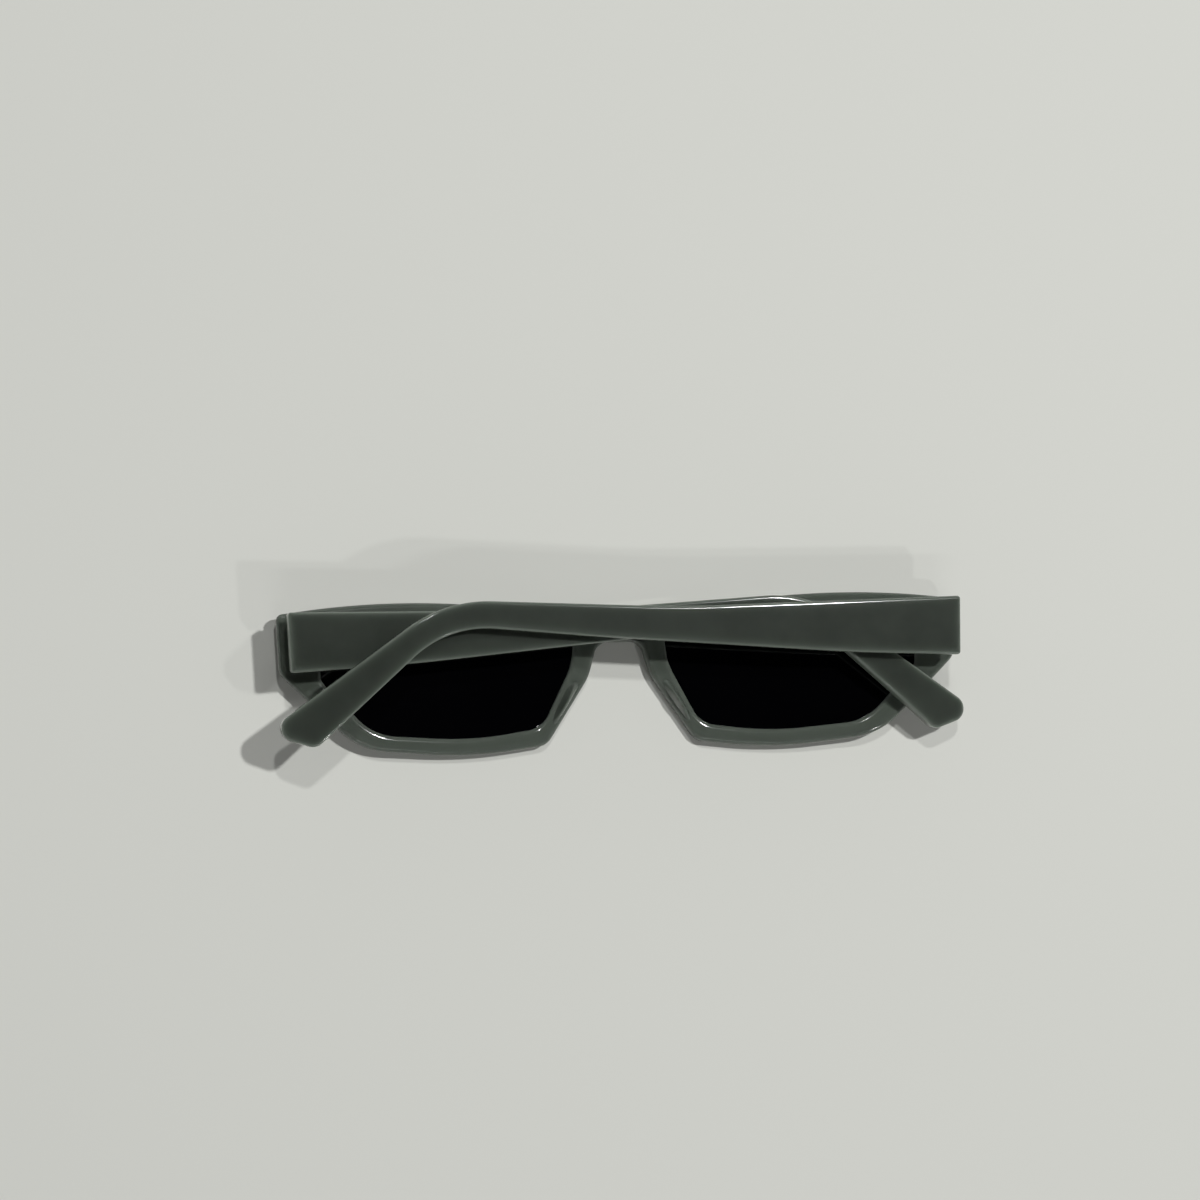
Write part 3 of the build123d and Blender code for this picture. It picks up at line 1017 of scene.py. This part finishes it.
@dataclass
class Studio:
    """Pale paper floor, small ceiling lamps and the camera over the folded glasses."""

    floor_colour: str = "#d0d1cb"
    floor_size: float = 3.0
    paper_roughness: float = 0.9
    paper_gloss: float = 0.2
    world_share: float = 0.8
    lamp_distance: float = 1.6
    lamp_size: float = 0.07
    camera_place_mm: tuple[float, float, float] = (-150.39, -28.02, 812.32)
    camera_back: tuple[float, float, float] = (-0.17808, -0.04159, 0.98314)
    camera_up: tuple[float, float, float] = (0.02470, 0.99860, 0.04672)
    focal_px: float = 3816.0
    sensor_mm: float = 36.0

    def floor(self) -> None:
        """Lays the floor under the front: uncoated paper, which scatters light and has no shine."""
        material, tree = new_material("matt_paper")
        shader = add_node(
            tree,
            "ShaderNodeBsdfPrincipled",
            {
                "Base Color": linear(self.floor_colour),
                "Roughness": self.paper_roughness,
                "Specular IOR Level": self.paper_gloss,
            },
        )
        add_node(tree, "ShaderNodeOutputMaterial", {"Surface": shader.outputs["BSDF"]})
        half = self.floor_size / 2
        mesh = bpy.data.meshes.new("paper_floor")
        corners = [(-half, -half, 0), (half, -half, 0), (half, half, 0), (-half, half, 0)]
        mesh.from_pydata(corners, [], [(0, 1, 2, 3)])
        mesh.materials.append(material)
        sheet = bpy.data.objects.new("paper_floor", mesh)
        bpy.context.scene.collection.objects.link(sheet)

    def hang(self, lamp: Lamp) -> None:
        """Hangs one lamp, facing the glasses.

        A lamp of P watts at a distance d lights a white sheet that faces it at P / (pi d) squared.
        """
        direction = Vector(lamp.toward).normalized()
        data = bpy.data.lights.new(lamp.name, "AREA")
        data.shape, data.size, data.size_y = "ELLIPSE", lamp.length or self.lamp_size, self.lamp_size
        data.energy = lamp.share * (math.pi * self.lamp_distance) ** 2 / direction.z
        hung = bpy.data.objects.new(lamp.name, data)
        hung.location = direction * self.lamp_distance
        hung.rotation_mode = "QUATERNION"
        hung.rotation_quaternion = (-direction).to_track_quat("-Z", "Y")
        bpy.context.scene.collection.objects.link(hung)

    def lights(self) -> None:
        """Hangs the lamps, under a world of strength world_share times (1 - height) squared.

        It is pale at the horizon and dark overhead, so that the lenses mirror a dark ceiling.
        """
        world = bpy.data.worlds.new("studio_world")
        bpy.context.scene.world = world
        world.use_nodes = True
        tree = world.node_tree
        sky = add_node(tree, "ShaderNodeTexCoord")
        height = add_node(tree, "ShaderNodeSeparateXYZ", {"Vector": sky.outputs["Generated"]})
        fade = add_node(
            tree, "ShaderNodeMapRange", {"Value": height.outputs["Z"], "To Min": 1.0, "To Max": 0.0}
        ).outputs["Result"]
        square = add_node(tree, "ShaderNodeMath", {0: fade, 1: fade}, operation="MULTIPLY")
        strength = add_node(
            tree, "ShaderNodeMath", {0: square.outputs[0], 1: self.world_share}, operation="MULTIPLY"
        )
        background = tree.nodes["Background"]
        background.inputs["Color"].default_value = (1.0, 1.0, 1.0, 1.0)
        tree.links.new(strength.outputs[0], background.inputs["Strength"])
        for lamp in LAMPS:
            self.hang(lamp)

    def camera(self) -> None:
        """Sets the camera at the photograph's viewing angle."""
        data = bpy.data.cameras.new("overhead_camera")
        data.sensor_width = self.sensor_mm
        data.lens = self.focal_px / IMAGE_PX * data.sensor_width
        camera = bpy.data.objects.new("overhead_camera", data)
        back, up = Vector(self.camera_back).normalized(), Vector(self.camera_up).normalized()
        right = up.cross(back).normalized()
        up = back.cross(right)
        turn = Matrix((right, up, back)).transposed()
        camera.matrix_world = Matrix.Translation(Vector(self.camera_place_mm) * MM) @ turn.to_4x4()
        bpy.context.scene.collection.objects.link(camera)
        bpy.context.scene.camera = camera

    def build(self) -> None:
        """Builds the studio."""
        self.floor()
        self.lights()
        self.camera()


def pins(record: dict) -> dict[Side, tuple[float, float, float]]:
    """Places of the hinge pins in millimetres, from the record's joints."""
    joints = {joint["child"]: joint["pos_m"] for joint in record["behaviour"]["joints"]}
    return {side: tuple(value / MM for value in joints[f"{side.word}_arm"]) for side in Side}


def dress(
    nodes: dict, acetate: bpy.types.Material, lens: bpy.types.Material, steel: bpy.types.Material
) -> None:
    """Gives the CAD nodes their finishes: steel to hinges, screws and wires, acetate to the rest.

    Args:
        nodes: the frame's nodes by name.
        acetate: finish of the front, the pads and the temples.
        lens: finish of the lenses.
        steel: finish of the metal pieces.
    """
    for name, node in nodes.items():
        kind = name.split("_", 1)[1]
        finish = lens if kind == "lens" else steel if "hinge" in kind or "wire" in kind else acetate
        for place in node.material_slots:
            place.material = finish
        LOG.info("dressed %s", name)


def main() -> None:
    """Loads the frame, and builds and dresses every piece."""
    logging.basicConfig(level=logging.INFO, format="%(message)s")
    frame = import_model()
    acetate, lens, steel = Acetate().make(), LensSheet().make(), HingeSteel().make()
    front = Front()
    front.build_frame(acetate)
    places = pins(frame["record"])
    for side in Side:
        front.build_lens(side, lens)
        front.build_pad(side, acetate)
        Temple(side, places[side], FOLD_DEGREES[side]).build(acetate)
    dress(frame["nodes"], acetate, lens, steel)
    Studio().build()
    bpy.context.scene.view_settings.view_transform = "Standard"


if __name__ == "__main__":
    main()
